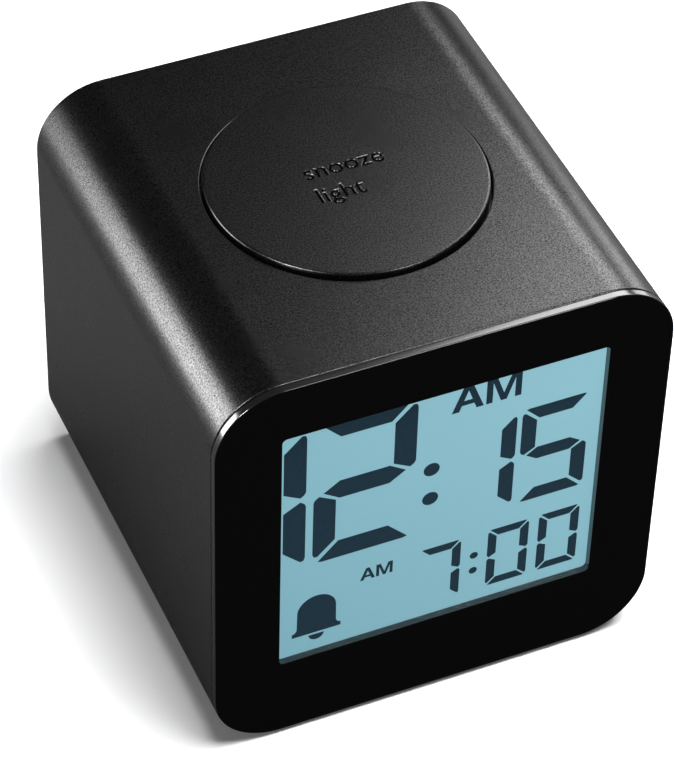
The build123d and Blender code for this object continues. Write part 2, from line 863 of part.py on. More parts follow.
def contact_profile(side, cell_z, sprung):
    """One contact on the end wall of the bay: a bent leaf, or a plate with a dimple."""
    wall_x = side * bay_half
    inner_x = wall_x - side * contact_thickness
    with BuildPart() as contact:
        with BuildSketch(facing(cell_depth - contact_width / 2)):
            with Locations(((wall_x + inner_x) / 2, cell_z)):
                Rectangle(contact_thickness, contact_width)
        extrude(amount=-contact_width)
        if sprung:
            tip_x = wall_x - side * (contact_thickness + leaf_reach())
            with BuildSketch(facing(cell_depth - contact_width / 4)):
                with BuildLine():
                    Polyline(
                        (inner_x, cell_z - contact_width / 2),
                        (tip_x, cell_z),
                        (inner_x, cell_z + contact_width / 2),
                        (inner_x, cell_z + contact_width / 2 - 2 * contact_thickness),
                        (tip_x + side * 2 * contact_thickness, cell_z),
                        (inner_x, cell_z - contact_width / 2 + 2 * contact_thickness),
                        close=True,
                    )
                make_face()
            extrude(amount=-contact_width / 2)
        else:
            dimple = Plane(origin=(inner_x, front_y + cell_depth, cell_z), z_dir=(-side, 0, 0))
            with BuildSketch(dimple):
                Circle(dimple_radius)
            extrude(amount=contact_dimple)
    return contact


def leaf_reach():
    """How far a bent leaf stands off its plate to meet the flat end of a cell."""
    used = 2 * contact_thickness + contact_dimple + 2 * face_gap + cell_length
    return door_width - used


def make_contacts():
    """Link plate on the left, plus and minus contacts on the right."""
    lower_z = bay_mid_z - cell_pitch / 2
    upper_z = bay_mid_z + cell_pitch / 2
    write(contact_profile(1, lower_z, False), "plus_contact")
    write(contact_profile(1, upper_z, True), "minus_contact")
    leaf = contact_profile(-1, lower_z, True)
    plate = contact_profile(-1, upper_z, False)
    with BuildPart() as link:
        add(leaf.part)
        add(plate.part)
        with BuildSketch(facing(cell_depth - contact_width / 4)):
            with Locations((-(bay_half - contact_thickness / 2), bay_mid_z)):
                Rectangle(contact_thickness, cell_pitch)
        extrude(amount=-contact_width / 2)
    write(link, "link_contact")


def make_keys():
    """Four round setting keys, each with the plunger of its push switch."""
    for key_name, place in zip(key_names, key_places()):
        with BuildPart() as key:
            with BuildSketch(rear_facing(key_flange_face)):
                with Locations(mirrored([place])):
                    Circle(key_radius)
            extrude(amount=cover_depth + key_proud - key_flange_face)
            chamfer(key.edges().group_by(Axis.Y)[-1], edge_round)
            with BuildSketch(facing(key_flange_face)):
                with Locations(place):
                    Circle(key_radius + key_flange)
            extrude(amount=key_flange_height)
            with BuildSketch(facing(key_flange_face - key_flange_height)):
                with Locations(place):
                    Circle(key_post_radius)
            extrude(amount=key_flange_face - key_flange_height - key_plunger_face)
        write(key, f"{key_name}_key")
        with BuildPart() as plunger:
            with BuildSketch(facing(key_plunger_face)):
                with Locations(place):
                    Circle(plunger_radius)
            extrude(amount=plunger_proud + plunger_inside)
        write(plunger, f"{key_name}_plunger")


def make_key_switches():
    """Bodies of the four push switches behind the keys."""
    with BuildPart() as switches:
        with BuildSketch(facing(key_switch_face)):
            with Locations(key_places()):
                Rectangle(switch_size, switch_size)
        extrude(amount=switch_height)
        with BuildSketch(facing(key_switch_face)):
            with Locations(key_places()):
                Circle(plunger_radius + plunger_gap)
        extrude(amount=plunger_inside + key_travel + fit_gap, mode=Mode.SUBTRACT)
    write(switches, "key_switches")


def make_key_board():
    """Circuit board that carries the rear switches and the buzzer."""
    with BuildPart() as board:
        with BuildSketch(facing(key_switch_seat)):
            with Locations((0, (key_board_bottom + key_board_top) / 2)):
                Rectangle(key_board_width, key_board_top - key_board_bottom)
            with Locations([(-standoff_spot[0], standoff_spot[1]), standoff_spot]):
                Circle(screw_hole_radius, mode=Mode.SUBTRACT)
        extrude(amount=board_thickness)
    write(board, "key_board")


def make_alarm_switch():
    """Slide switch on the key board, and its knob through the rear cover."""
    rest_x = knob_spot[0] - knob_travel / 2
    stem_inside = plunger_inside
    with BuildPart() as slider:
        with BuildSketch(facing(key_switch_seat + slider_depth)):
            with Locations(knob_spot):
                Rectangle(slider_width, slider_height)
        extrude(amount=slider_depth)
        with BuildSketch(facing(key_switch_seat + slider_depth)):
            with Locations(knob_spot):
                Rectangle(knob_stem + knob_travel + 2 * fit_gap, knob_stem + 2 * fit_gap)
        extrude(amount=stem_inside + fit_gap, mode=Mode.SUBTRACT)
    write(slider, "alarm_switch")
    with BuildPart() as knob:
        with BuildSketch(rear_facing(key_flange_face)):
            with Locations(mirrored([(rest_x, knob_spot[1])])):
                Rectangle(knob_width, knob_height)
        extrude(amount=cover_depth + knob_proud - key_flange_face)
        with BuildSketch(rear_facing(cover_depth + knob_proud - grip_height)):
            with Locations(mirrored([(rest_x + i * 2 * grip_width, knob_spot[1]) for i in (-1, 0, 1)])):
                Rectangle(grip_width, knob_height)
        extrude(amount=grip_height, mode=Mode.SUBTRACT)
        with BuildSketch(facing(key_flange_face)):
            with Locations((rest_x, knob_spot[1])):
                Rectangle(knob_width + 2 * knob_flange, knob_height + knob_flange)
        extrude(amount=knob_flange_height)
        with BuildSketch(facing(key_flange_face - knob_flange_height)):
            with Locations((rest_x, knob_spot[1])):
                Rectangle(knob_stem, knob_stem)
        extrude(amount=key_flange_face - knob_flange_height
                - key_switch_seat - slider_depth + stem_inside)
    write(knob, "alarm_knob")


def make_buzzer():
    """Round buzzer can behind the sound slots."""
    with BuildPart() as buzzer:
        with BuildSketch(facing(key_switch_seat)):
            with Locations(speaker_spot):
                Circle(buzzer_radius)
        extrude(amount=-buzzer_height)
        chamfer(buzzer.faces().sort_by(Axis.Y)[-1].edges(), edge_round)
        with BuildSketch(facing(key_switch_seat + buzzer_height)):
            with Locations(speaker_spot):
                Circle(buzzer_hole_radius)
        extrude(amount=buzzer_hole_radius, mode=Mode.SUBTRACT)
    write(buzzer, "buzzer")


def make_feet():
    """Four rubber feet in their recesses under the housing."""
    with BuildPart() as feet:
        with BuildSketch(Plane.XY):
            with Locations(corners(foot_x, foot_y)):
                Circle(foot_radius)
        extrude(amount=base_z + foot_recess)
        chamfer(feet.edges().group_by(Axis.Z)[0], small_round)
    write(feet, "feet")


def make_link_ribbon():
    """Flat ribbon cable from the main board to the key board."""
    start_y = front_y + board_back
    end_y = front_y + key_board_depth
    low_z = ribbon_end_z - ribbon_sag
    with BuildPart() as ribbon:
        with BuildLine(Plane.YZ):
            FilletPolyline(
                (start_y, ribbon_start_z),
                (start_y + ribbon_run, ribbon_start_z),
                (start_y + 2 * ribbon_run, low_z + ribbon_sag / 2),
                ((start_y + end_y) / 2, low_z + ribbon_sag / 3),
                (end_y - ribbon_run, ribbon_end_z),
                (end_y, ribbon_end_z),
                radius=ribbon_bend,
            )
        with BuildSketch(Plane((0, start_y, ribbon_start_z), (1, 0, 0), (0, 1, 0))):
            Rectangle(ribbon_width, ribbon_thickness)
        sweep()
    write(ribbon, "link_ribbon")


def main():
    """Build every piece and write it to the parts folder."""
    os.makedirs("parts", exist_ok=True)
    make_housing()
    make_front_frame()
    make_display_window()
    make_display_stack()
    make_display_carrier()
    make_backlight_leds()
    make_main_board()
    make_clock_chip()
    make_timing_crystal()
    make_board_parts()
    make_all_screws()
    make_snooze_button()
    make_snooze_switch()
    make_button_bellows()
    make_snooze_board()
    make_button_holder()
    make_rear_cover()
    make_battery_door()
    make_battery_cells()
    make_contacts()
    make_keys()
    make_key_switches()
    make_key_board()
    make_alarm_switch()
    make_buzzer()
    make_feet()
    make_link_ribbon()


main()
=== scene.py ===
"""Looks of a cube digital alarm clock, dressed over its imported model. All sizes are in metres."""
import logging
import math
from collections.abc import Callable
from dataclasses import dataclass
from enum import Enum

import bmesh
import bpy
from bpy.types import Material, Node, NodeOutputs, NodeSocket, Object, World
from mathutils import Matrix, Vector


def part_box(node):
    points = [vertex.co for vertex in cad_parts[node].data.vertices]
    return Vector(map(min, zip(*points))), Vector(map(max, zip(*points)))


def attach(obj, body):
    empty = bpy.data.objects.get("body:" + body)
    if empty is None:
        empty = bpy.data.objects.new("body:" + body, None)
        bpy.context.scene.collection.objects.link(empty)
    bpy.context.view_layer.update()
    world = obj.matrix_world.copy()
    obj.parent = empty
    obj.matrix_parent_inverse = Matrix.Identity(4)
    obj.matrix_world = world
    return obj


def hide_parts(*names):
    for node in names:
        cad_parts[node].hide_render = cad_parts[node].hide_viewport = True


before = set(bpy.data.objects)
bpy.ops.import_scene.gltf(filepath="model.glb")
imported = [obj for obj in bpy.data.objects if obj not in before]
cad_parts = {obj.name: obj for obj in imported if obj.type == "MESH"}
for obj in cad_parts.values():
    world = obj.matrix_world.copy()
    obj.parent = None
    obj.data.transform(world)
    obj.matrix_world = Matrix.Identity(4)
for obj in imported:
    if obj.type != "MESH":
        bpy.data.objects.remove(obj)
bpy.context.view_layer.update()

MM = 0.001
LOG = logging.getLogger("clock")

# How near two coordinates lie that count as one level, and how near a point on a round counts
LEVEL = 1e-6
ROUND = 3e-5
# Least share of a face's normal along an axis that counts as facing that way
FACING = 0.9

# Steps of a quarter round or of a letter's curve, and sides of a disc
BEVEL_STEPS = 3
ROUND_STEPS = 4
EDGE_STEPS = 6
INNER_STEPS = 12
BORE_STEPS = 24
CORNER_STEPS = 32
POST_SIDES = 32
DOME_STEPS = 32
CLAPPER_STEPS = 20
DOT_SIDES = 40
LIP_SIDES = 96
WELL_SIDES = 200
CAP_SIDES = 224

# Noise behind the roughness and the grain of every finish
CLOUD_SCALE = 90.0
CLOUD_DETAIL = 4.0
PLAIN_SCALE = 2500.0
GRAIN_DETAIL = 3.0
GRAIN_LOW = 0.35
GRAIN_HIGH = 0.65
BASE_SPECKLE = 0.04
LEAST_ROUGHNESS = 0.02

Color = tuple[float, float, float]
Place = tuple[float, float, float]
Outline = list[tuple[float, float]]
Test = Callable[[Vector, Vector], bool]


class Segment(Enum):
    """The seven bars of a digit, named by their place."""

    TOP = "a"
    RIGHT_HIGH = "b"
    RIGHT_LOW = "c"
    FOOT = "d"
    LEFT_LOW = "e"
    LEFT_HIGH = "f"
    MIDDLE = "g"


class Part(Enum):
    """What a selection in edit mode takes."""

    EDGE = "EDGE"
    FACE = "FACE"


# Lit bars of each digit that the display shows
LIT = {
    "0": "abcdef",
    "1": "bc",
    "2": "abged",
    "5": "afgcd",
    "7": "abc",
}

# Left leg of a bold capital A, the width of the A, and the M with its start, in shares of the
# capital's height
LEG_A = ((0.0, 0.0), (0.225, 0.0), (0.30, 0.21), (0.49, 0.21), (0.49, 0.38), (0.358, 0.38),
         (0.49, 0.75), (0.49, 1.0), (0.375, 1.0))
WIDTH_A = 0.98
LETTER_M = ((0.0, 0.0), (0.0, 1.0), (0.29, 1.0), (0.54, 0.27), (0.79, 1.0), (1.08, 1.0),
            (1.08, 0.0), (0.885, 0.0), (0.885, 0.76), (0.63, 0.0), (0.45, 0.0), (0.195, 0.76),
            (0.195, 0.0))
START_M = 1.05


@dataclass
class Graph:
    """Node tree of a material or a world, filled with short calls."""

    owner: Material | World

    @classmethod
    def new(cls, name: str) -> "Graph":
        """Start a new material, which holds its Principled shader.

        Args:
            name: name of the material.

        Returns:
            The graph of the new material.
        """
        material = bpy.data.materials.new(name)
        material.use_nodes = True
        return cls(material)

    def fill(self, node: Node, values: dict) -> None:
        """Set or link inputs of a node.

        Args:
            node: the node.
            values: for each input, by name or number, its value or the output that feeds it.
        """
        for key, value in values.items():
            if isinstance(value, NodeSocket):
                self.owner.node_tree.links.new(value, node.inputs[key])
            else:
                node.inputs[key].default_value = value

    def add(self, kind: str, values: dict | None = None, **settings: object) -> Node:
        """Add a node.

        Args:
            kind: type of the node.
            values: values or feeding outputs of its inputs.
            settings: properties of the node, set before its inputs.

        Returns:
            The node.
        """
        node = self.owner.node_tree.nodes.new(kind)
        for name, setting in settings.items():
            setattr(node, name, setting)
        self.fill(node, values or {})
        return node

    def shade(self, values: dict) -> None:
        """Set or link inputs of the Principled shader, as fill does."""
        self.fill(self.owner.node_tree.nodes["Principled BSDF"], values)

    def math(self, operation: str, *values: object) -> NodeSocket:
        """Add a sum or a product and give its output.

        Args:
            operation: name of the operation.
            values: its values or feeding outputs, in order.

        Returns:
            The output.
        """
        node = self.add("ShaderNodeMath", dict(enumerate(values)), operation=operation)
        return node.outputs["Value"]

    def map(self, value: NodeSocket, **ends: float) -> NodeSocket:
        """Map a range onto another one.

        Args:
            value: the output that is mapped.
            ends: from_min, from_max, to_min and to_max, each 0 or 1 where it is left out.

        Returns:
            The mapped output.
        """
        values = {name.replace("_", " ").title(): end for name, end in ends.items()}
        node = self.add("ShaderNodeMapRange", {"Value": value, **values})
        return node.outputs["Result"]

    def place(self) -> NodeSocket:
        """Give the object coordinates."""
        return self.add("ShaderNodeTexCoord").outputs["Object"]

    def axes(self) -> NodeOutputs:
        """Give the object coordinates as X, Y and Z."""
        return self.add("ShaderNodeSeparateXYZ", {"Vector": self.place()}).outputs


@dataclass(frozen=True)
class Finish:
    """A moulded or metal surface with its colour, gloss and fine grain.

    Attributes:
        name, color: name of the material and its base colour, linear.
        roughness: mean roughness.
        metallic: 1 on bare metal.
        grain_size: size of the grain in metres, 0 for none.
        grain_height: height of the grain's relief in metres.
        speckle: how much the grain lightens and darkens the colour.
        spread: how much the roughness varies over the surface.
        specular: specular level of the surface.
        coat: weight of a clear coat.
        sparkle: how much the grain varies the specular level.
        glow: how strongly the colour shines by itself.
    """

    name: str
    color: Color
    roughness: float
    metallic: float = 0.0
    grain_size: float = 0.0
    grain_height: float = 0.0
    speckle: float = 0.0
    spread: float = 0.04
    specular: float = 0.5
    coat: float = 0.0
    sparkle: float = 0.0
    glow: float = 0.0

    def make(self) -> Material:
        """Build and give the node material."""
        graph = Graph.new(self.name)
        place = graph.place()
        cloud = graph.add("ShaderNodeTexNoise",
                          {"Vector": place, "Scale": CLOUD_SCALE, "Detail": CLOUD_DETAIL})
        rough = graph.map(cloud.outputs["Fac"], to_max=self.roughness + self.spread,
                          to_min=max(self.roughness - self.spread, LEAST_ROUGHNESS))
        scale = 1.0 / self.grain_size if self.grain_size else PLAIN_SCALE
        fine = graph.add("ShaderNodeTexNoise",
                         {"Vector": place, "Scale": scale, "Detail": GRAIN_DETAIL}).outputs["Fac"]
        tone = graph.add("ShaderNodeValToRGB", {"Fac": fine})
        swing = self.speckle + BASE_SPECKLE
        ends = ((GRAIN_LOW, 1.0 - swing), (GRAIN_HIGH, 1.0 + swing))
        for element, (position, share) in zip(tone.color_ramp.elements, ends):
            element.position = position
            element.color = (*(c * share for c in self.color), 1.0)
        graph.shade({"Metallic": self.metallic, "Specular IOR Level": self.specular,
                     "Coat Weight": self.coat, "Roughness": rough,
                     "Base Color": tone.outputs["Color"]})
        if self.sparkle:
            shine = graph.map(fine, from_min=GRAIN_LOW, from_max=GRAIN_HIGH,
                              to_min=self.specular * (1.0 - self.sparkle),
                              to_max=self.specular * (1.0 + self.sparkle))
            graph.shade({"Specular IOR Level": shine})
        if self.glow:
            graph.shade({"Emission Color": tone.outputs["Color"], "Emission Strength": self.glow})
        if self.grain_height:
            bump = graph.add("ShaderNodeBump",
                             {"Height": fine, "Distance": self.grain_height, "Strength": 1.0})
            graph.shade({"Normal": bump.outputs["Normal"]})
        return graph.owner


@dataclass(frozen=True)
class ClearFinish:
    """A clear sheet that lets the layer behind it show, with a weak gloss.

    Attributes:
        name, color: name of the material and tint of the sheet, linear.
        alpha: how much of the sheet's own gloss and tint shows.
        roughness, spread: roughness of its face and how much it varies.
    """

    name: str
    color: Color
    alpha: float
    roughness: float
    spread: float = 0.01

    def make(self) -> Material:
        """Build and give the node material."""
        graph = Graph(Finish(self.name, self.color, self.roughness, spread=self.spread).make())
        graph.shade({"Alpha": self.alpha})
        return graph.owner


@dataclass(frozen=True)
class DisplayFinish:
    """Backlit ground of the display: pale blue, a little lighter to the right, with a fine dot grid.

    Attributes:
        name: name of the material.
        dim, bright: colours at the lower left and the upper right, linear.
        glow, dull: share of the colour that the backlight gives, and that the room's light gives.
        dot_pitch: pitch of the dot grid in metres.
        half_width: x at which the colour is brightest.
        low, high: z at which the colour is dimmest and brightest.
        roughness, specular: gloss of the glass.
        line_share: width of the lines between the dots, as a share of their pitch.
        dots: tones of the dots and of the lines between them.
    """

    name: str
    dim: Color
    bright: Color
    glow: float
    dull: float
    dot_pitch: float
    half_width: float = 30 * MM
    low: float = 12 * MM
    high: float = 62 * MM
    roughness: float = 0.55
    specular: float = 0.2
    line_share: float = 0.06
    dots: tuple[Color, ...] = ((1.0, 1.0, 1.0), (0.98, 0.98, 0.98), (0.93, 0.94, 0.95))

    def make(self) -> Material:
        """Build and give the node material."""
        graph = Graph.new(self.name)
        axes = graph.axes()
        across = graph.map(axes["X"], from_min=-self.half_width, from_max=self.half_width)
        up = graph.map(axes["Z"], from_min=self.low, from_max=self.high)
        mean = graph.math("MULTIPLY_ADD", up, 0.5, graph.math("MULTIPLY", across, 0.5))
        tone = graph.add("ShaderNodeMix", {"A": (*self.dim, 1.0), "B": (*self.bright, 1.0),
                                           "Factor": mean}, data_type="RGBA")
        flat = graph.add("ShaderNodeCombineXYZ", {"X": axes["X"], "Y": axes["Z"]})
        first, second, line = ((*dot, 1.0) for dot in self.dots)
        dots = graph.add("ShaderNodeTexBrick", {
            "Vector": flat.outputs["Vector"], "Scale": 1.0, "Brick Width": self.dot_pitch,
            "Row Height": self.dot_pitch, "Mortar Size": self.dot_pitch * self.line_share,
            "Color1": first, "Color2": second, "Mortar": line}, offset=0.0)
        grid = graph.add("ShaderNodeMix", {"Factor": 1.0, "A": tone.outputs["Result"],
                                           "B": dots.outputs["Color"]},
                         data_type="RGBA", blend_type="MULTIPLY").outputs["Result"]
        dull = graph.add("ShaderNodeVectorMath", {0: grid, "Scale": self.dull}, operation="SCALE")
        graph.shade({"Roughness": self.roughness, "Specular IOR Level": self.specular,
                     "Base Color": dull.outputs["Vector"], "Emission Color": grid,
                     "Emission Strength": self.glow})
        return graph.owner


@dataclass(frozen=True)
class PlateFinish:
    """Polished black plate: its face mirrors little, its edge keeps the full gloss.

    Attributes:
        name, color: name of the material and its base colour, linear.
        face_y: y of the face.
        specular, roughness: gloss of the face and of the edge.
        fade: how far behind the face the change to the edge starts and ends.
        speckle: how much the colour varies.
    """

    name: str
    color: Color
    face_y: float
    specular: tuple[float, float]
    roughness: tuple[float, float]
    fade: tuple[float, float] = (0.03 * MM, 0.12 * MM)
    speckle: float = 0.02

    def make(self) -> Material:
        """Build and give the node material."""
        graph = Graph(Finish(self.name, self.color, self.roughness[0], speckle=self.speckle).make())
        depth = graph.axes()["Y"]
        ends = {"Specular IOR Level": self.specular, "Roughness": self.roughness}
        for socket, (face, edge) in ends.items():
            graph.shade({socket: graph.map(depth, from_min=self.face_y + self.fade[0],
                                           from_max=self.face_y + self.fade[1],
                                           to_min=face, to_max=edge)})
        return graph.owner


@dataclass(frozen=True)
class WrapFinish:
    """Printed wrap of a battery cell: a coloured band at one end of a plain grey sleeve.

    Attributes:
        name: name of the material.
        left, right: colours of the two ends, linear.
        band_from, band_to: x between which the colour changes.
        roughness: roughness of the wrap.
    """

    name: str
    left: Color
    right: Color
    band_from: float
    band_to: float
    roughness: float = 0.3

    def make(self) -> Material:
        """Build and give the node material."""
        graph = Graph.new(self.name)
        step = graph.map(graph.axes()["X"], from_min=self.band_from, from_max=self.band_to)
        tone = graph.add("ShaderNodeValToRGB", {"Fac": step})
        tone.color_ramp.interpolation = "CONSTANT"
        first, last = tone.color_ramp.elements
        first.color = (*self.left, 1.0)
        last.color = (*self.right, 1.0)
        last.position = 0.5
        graph.shade({"Roughness": self.roughness, "Base Color": tone.outputs["Color"]})
        return graph.owner


@dataclass(frozen=True)
class FloorFinish:
    """Pale floor with painted light: its glow rises away from the object into white, and near it the
    lamps' shadow stays.

    Attributes:
        name: name of the material.
        seen, thrown: colour the camera sees, and the darker painted shade that other rays see and that
            lights the object, linear.
        roughness, specular: gloss of the floor.
        near, far: distance from the middle at which the painted glow starts to rise and is full.
        lift: glow of the whole floor, for the camera alone.
        mirrored: share of the rise that glossy surfaces see, a painted reflection.
    """

    name: str = "pale_floor"
    seen: Color = (0.93, 0.93, 0.94)
    painted_shade_tone: Color = (0.11, 0.11, 0.114)
    roughness: float = 0.7
    specular: float = 0.1
    near: float = 0.14
    far: float = 0.42
    lift: float = 0.09
    mirrored: float = 0.5

    def make(self) -> Material:
        """Build and give the node material."""
        graph = Graph.new(self.name)
        ray = graph.add("ShaderNodeLightPath").outputs
        reach = graph.add("ShaderNodeVectorMath", {0: graph.place()}, operation="LENGTH")
        # Painted light: the glow grows with distance from the middle, for the camera and, as a painted
        # reflection, for glossy rays.
        away = graph.map(reach.outputs["Value"], from_min=self.near, from_max=self.far)
        eye = graph.math("MULTIPLY", graph.math("ADD", away, self.lift), ray["Is Camera Ray"])
        gloss = graph.math("MULTIPLY", away, self.mirrored)
        glow = graph.math("MULTIPLY_ADD", gloss, ray["Is Glossy Ray"], eye)
        # Painted shade: rays other than the camera's see the floor in the darker thrown colour.
        tone = graph.add("ShaderNodeMix", {"A": (*self.painted_shade_tone, 1.0), "B": (*self.seen, 1.0),
                                           "Factor": ray["Is Camera Ray"]}, data_type="RGBA")
        graph.shade({"Roughness": self.roughness, "Specular IOR Level": self.specular,
                     "Base Color": tone.outputs["Result"]})
        nodes = graph.owner.node_tree.nodes
        shine = graph.add("ShaderNodeEmission", {"Strength": glow})
        both = graph.add("ShaderNodeAddShader", {0: nodes["Principled BSDF"].outputs["BSDF"],
                                                 1: shine.outputs["Emission"]})
        graph.fill(nodes["Material Output"], {"Surface": both.outputs["Shader"]})
        return graph.owner


SATIN_CASE = Finish("satin_black_case", (0.0020, 0.0020, 0.0021), 0.28, grain_size=0.22 * MM,
                    grain_height=0.012 * MM, speckle=0.9, spread=0.03, sparkle=0.7)
GLOSS_FRAME = PlateFinish("gloss_black_frame", (0.0065, 0.0065, 0.0068), -35.5 * MM, (0.004, 1.0),
                          (0.08, 0.16))
# Dark matt film on the floor of the engraved legend: painted shade that makes the letters dark.
PAINTED_SHADE_FILM = Finish("painted_legend_shade", (0.0008, 0.0008, 0.0008), 0.85, grain_size=0.2 * MM, speckle=0.2,
                specular=0.02)
COVER = Finish("grained_black_cover", (0.014, 0.014, 0.015), 0.55, grain_size=0.3 * MM,
               grain_height=0.03 * MM, speckle=0.25)
KEYS = Finish("satin_grey_keys", (0.055, 0.055, 0.058), 0.42, grain_size=0.2 * MM,
              grain_height=0.01 * MM, speckle=0.12)
RUBBER = Finish("black_rubber", (0.012, 0.012, 0.012), 0.8, grain_size=0.25 * MM,
                grain_height=0.02 * MM, speckle=0.2)
ZINC = Finish("zinc_steel", (0.52, 0.52, 0.54), 0.32, metallic=1.0, grain_size=0.3 * MM,
              grain_height=0.004 * MM, speckle=0.1)
NICKEL = Finish("nickel_strip", (0.68, 0.66, 0.62), 0.25, metallic=1.0, grain_size=0.2 * MM,
                grain_height=0.003 * MM, speckle=0.06)
BOARD = Finish("green_board", (0.012, 0.075, 0.035), 0.35, grain_size=0.5 * MM,
               grain_height=0.01 * MM, speckle=0.2, coat=0.3)
PART = Finish("black_component", (0.012, 0.012, 0.013), 0.5, grain_size=0.2 * MM,
              grain_height=0.01 * MM, speckle=0.15)
WHITE = Finish("white_moulding", (0.72, 0.72, 0.7), 0.5, grain_size=0.3 * MM, speckle=0.03)
GREY = Finish("grey_moulding", (0.12, 0.12, 0.125), 0.5, grain_size=0.3 * MM,
              grain_height=0.01 * MM, speckle=0.1)
RIBBON = Finish("ribbon_cable", (0.35, 0.35, 0.36), 0.45, grain_size=0.8 * MM, speckle=0.2)
INK = Finish("display_segment", (0.006, 0.0145, 0.0215), 0.5, grain_size=0.5 * MM, speckle=0.05,
             specular=0.0, glow=2.1)
PANE = ClearFinish("clear_pane", (0.02, 0.022, 0.025), 0.06, 0.04)
ACRYLIC = ClearFinish("clear_acrylic", (0.8, 0.85, 0.88), 0.5, 0.1)
DISPLAY = DisplayFinish("display_ground", (0.217, 0.452, 0.535), (0.318, 0.61, 0.71),
                        1.0, 0.08, 0.33 * MM)
CELL_PLUS_RIGHT = WrapFinish("cell_wrap_right", (0.05, 0.05, 0.055), (0.55, 0.33, 0.12),
                             8 * MM, 16 * MM)
CELL_PLUS_LEFT = WrapFinish("cell_wrap_left", (0.55, 0.33, 0.12), (0.05, 0.05, 0.055),
                            -16 * MM, -8 * MM)

# CAD nodes whose shape stays, by their finish
CARRIED = {
    DISPLAY: ["lcd_front_glass"],
    PANE: ["display_window"],
    ACRYLIC: ["light_guide", "lcd_rear_glass"],
    WHITE: ["diffuser_film", "reflector_film", "backlight_leds", "snooze_plunger",
            "time_plunger", "alarm_plunger", "hour_plunger", "minute_plunger"],
    GREY: ["display_carrier", "button_holder"],
    RUBBER: ["zebra_strip", "feet", "button_bellows"],
    BOARD: ["main_board", "snooze_board", "key_board"],
    PART: ["clock_chip", "board_parts", "snooze_switch", "key_switches", "alarm_switch",
           "buzzer"],
    ZINC: ["timing_crystal", "board_screws", "rear_screws", "key_board_screws",
           "holder_screws"],
    COVER: ["rear_cover", "battery_door"],
    KEYS: ["time_key", "alarm_key", "hour_key", "minute_key", "alarm_knob"],
    NICKEL: ["plus_contact", "minus_contact", "link_contact"],
    RIBBON: ["link_ribbon"],
    CELL_PLUS_RIGHT: ["battery_cell_1"],
    CELL_PLUS_LEFT: ["battery_cell_2"],
}


def deselect() -> None:
    """Deselect every object."""
    bpy.ops.object.select_all(action="DESELECT")


def only(obj: Object) -> None:
    """Select one object alone and make it active.

    Args:
        obj: the object to work on.
    """
    deselect()
    obj.select_set(True)
    bpy.context.view_layer.objects.active = obj


def edit(obj: Object, part: Part, test: Test) -> None:
    """Enter edit mode and select the edges or faces that pass a test.

    Args:
        obj: the mesh object.
        part: edges or faces.
        test: takes an edge's two ends, or a face's centre and normal; True selects it.
    """
    only(obj)
    bpy.ops.object.mode_set(mode="EDIT")
    bpy.ops.mesh.select_mode(type=part.value)
    bpy.ops.mesh.select_all(action="DESELECT")
    mesh = bmesh.from_edit_mesh(obj.data)
    if part is Part.EDGE:
        pairs = [(edge, *(vert.co for vert in edge.verts)) for edge in mesh.edges]
    else:
        pairs = [(face, face.calc_center_median(), face.normal) for face in mesh.faces]
    for item, first, second in pairs:
        if test(first, second):
            item.select_set(True)
    bmesh.update_edit_mesh(obj.data)


def leave_edit() -> None:
    """Go back to object mode."""
    bpy.ops.object.mode_set(mode="OBJECT")


def block(name: str, low: Place, high: Place) -> Object:
    """Add a box from its lowest to its highest corner.

    Args:
        name: name of the object.
        low, high: lowest and highest corner.

    Returns:
        The new object, at the origin and unscaled.
    """
    low, high = Vector(low), Vector(high)
    deselect()
    bpy.ops.mesh.primitive_cube_add(size=1.0, location=(low + high) / 2)
    obj = bpy.context.object
    obj.name = name
    obj.scale = high - low
    bpy.ops.object.transform_apply()
    return obj


def rounded_block(name: str, low: Place, high: Place, radius: float, segments: int) -> Object:
    """Add a box whose four edges along Y are rounded.

    Args:
        name: name of the object.
        low, high: lowest and highest corner.
        radius: radius of the four edges.
        segments: steps of each quarter round.

    Returns:
        The new object.
    """
    obj = block(name, low, high)
    edit(obj, Part.EDGE, lambda a, b: abs(a.x - b.x) < LEVEL and abs(a.z - b.z) < LEVEL)
    bpy.ops.mesh.bevel(offset=radius, segments=segments)
    leave_edit()
    return obj


def disc(name: str, centre: Place, radius: float, height: float, steps: int,
         lying: bool = False) -> Object:
    """Add a cylinder about a point, along Z or Y.

    Args:
        name: name of the object.
        centre: its middle.
        radius: its radius.
        height: its length.
        steps: how many sides it has.
        lying: True for a cylinder along Y.

    Returns:
        The new object.
    """
    turn = (math.pi / 2, 0.0, 0.0) if lying else (0.0, 0.0, 0.0)
    deselect()
    bpy.ops.mesh.primitive_cylinder_add(vertices=steps, radius=radius, depth=height,
                                        location=centre, rotation=turn)
    obj = bpy.context.object
    obj.name = name
    bpy.ops.object.transform_apply()
    return obj


def cut(obj: Object, tool: Object, crossed: bool = False) -> None:
    """Cut a tool out of an object and delete the tool.

    Args:
        obj: the object that is cut.
        tool: the closed solid that is taken away.
        crossed: True where the tool's own faces may cross.
    """
    only(obj)
    modifier = obj.modifiers.new("cut", "BOOLEAN")
    modifier.operation = "DIFFERENCE"
    modifier.solver = "EXACT"
    modifier.use_self = crossed
    modifier.object = tool
    bpy.ops.object.modifier_apply(modifier=modifier.name)
    bpy.data.objects.remove(tool)


def join(first: Object, *others: Object) -> Object:
    """Join other objects into the first one.

    Args:
        first: the object that stays.
        others: the objects that go into it.

    Returns:
        The joined object.
    """
    only(first)
    for other in others:
        other.select_set(True)
    bpy.ops.object.join()
    return first


